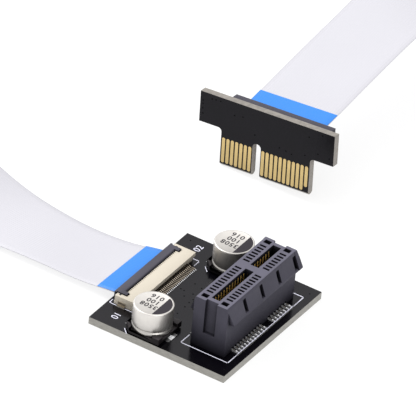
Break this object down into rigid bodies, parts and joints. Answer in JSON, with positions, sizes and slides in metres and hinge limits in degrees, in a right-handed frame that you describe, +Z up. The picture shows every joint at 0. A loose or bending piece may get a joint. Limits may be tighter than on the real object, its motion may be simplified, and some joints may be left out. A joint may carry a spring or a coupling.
{
  "type": "riser card",
  "caption": "Flexible x1 riser: a small socket board and an edge card joined by a white flat ribbon, with two capacitors and a locking ribbon connector at each end",
  "frame": {"origin": "middle of the socket board's underside", "axes": "+Z up from the surface that the socket board lies on, +Y along the card slot, +X from the ribbon connector towards the slot"},
  "size_m": [0.1299, 0.1717, 0.0185],
  "materials": {
    "board": "black solder mask",
    "socket_plastic": "dark grey moulded plastic",
    "black_plastic": "black moulded plastic",
    "cream_plastic": "cream moulded plastic",
    "gold": "gold plated",
    "tin": "bright tin",
    "can": "satin aluminium can",
    "ribbon": "white laminated flat cable",
    "blue_tape": "blue stiffening tape"
  },
  "bodies": {
    "riser": {"socket_board": "board", "socket_board_pads": "tin", "socket_housing": "socket_plastic", "socket_contacts_inner": "gold", "socket_contacts_outer": "gold", "socket_end_connector_housing": "cream_plastic", "socket_end_connector_contacts": "tin", "socket_end_connector_tabs": "tin", "capacitor_near_can": "can", "capacitor_near_base": "black_plastic", "capacitor_near_leads": "tin", "capacitor_far_can": "can", "capacitor_far_base": "black_plastic", "capacitor_far_leads": "tin", "edge_card": "board", "edge_fingers_front": "gold", "edge_fingers_back": "gold", "edge_card_pads": "tin", "card_end_connector_housing": "cream_plastic", "card_end_connector_contacts": "tin", "card_end_connector_tabs": "tin", "ribbon_cable": "ribbon", "stiffener_socket_end": "blue_tape", "stiffener_card_end": "blue_tape"},
    "socket_end_lock": {"socket_end_lock": "black_plastic"},
    "card_end_lock": {"card_end_lock": "black_plastic"}
  },
  "joints": [
    {"name": "flip_lock", "type": "hinge", "parent": "riser", "child": "socket_end_lock", "pos_m": [-0.01325, 0, 0.00328], "axis": [0, 1, 0], "range_deg": [0, 90]},
    {"name": "cover_slide", "type": "slide", "parent": "riser", "child": "card_end_lock", "axis": [0.0081, 0.9957, -0.092], "range_m": [0, 0.0012]}
  ]
}
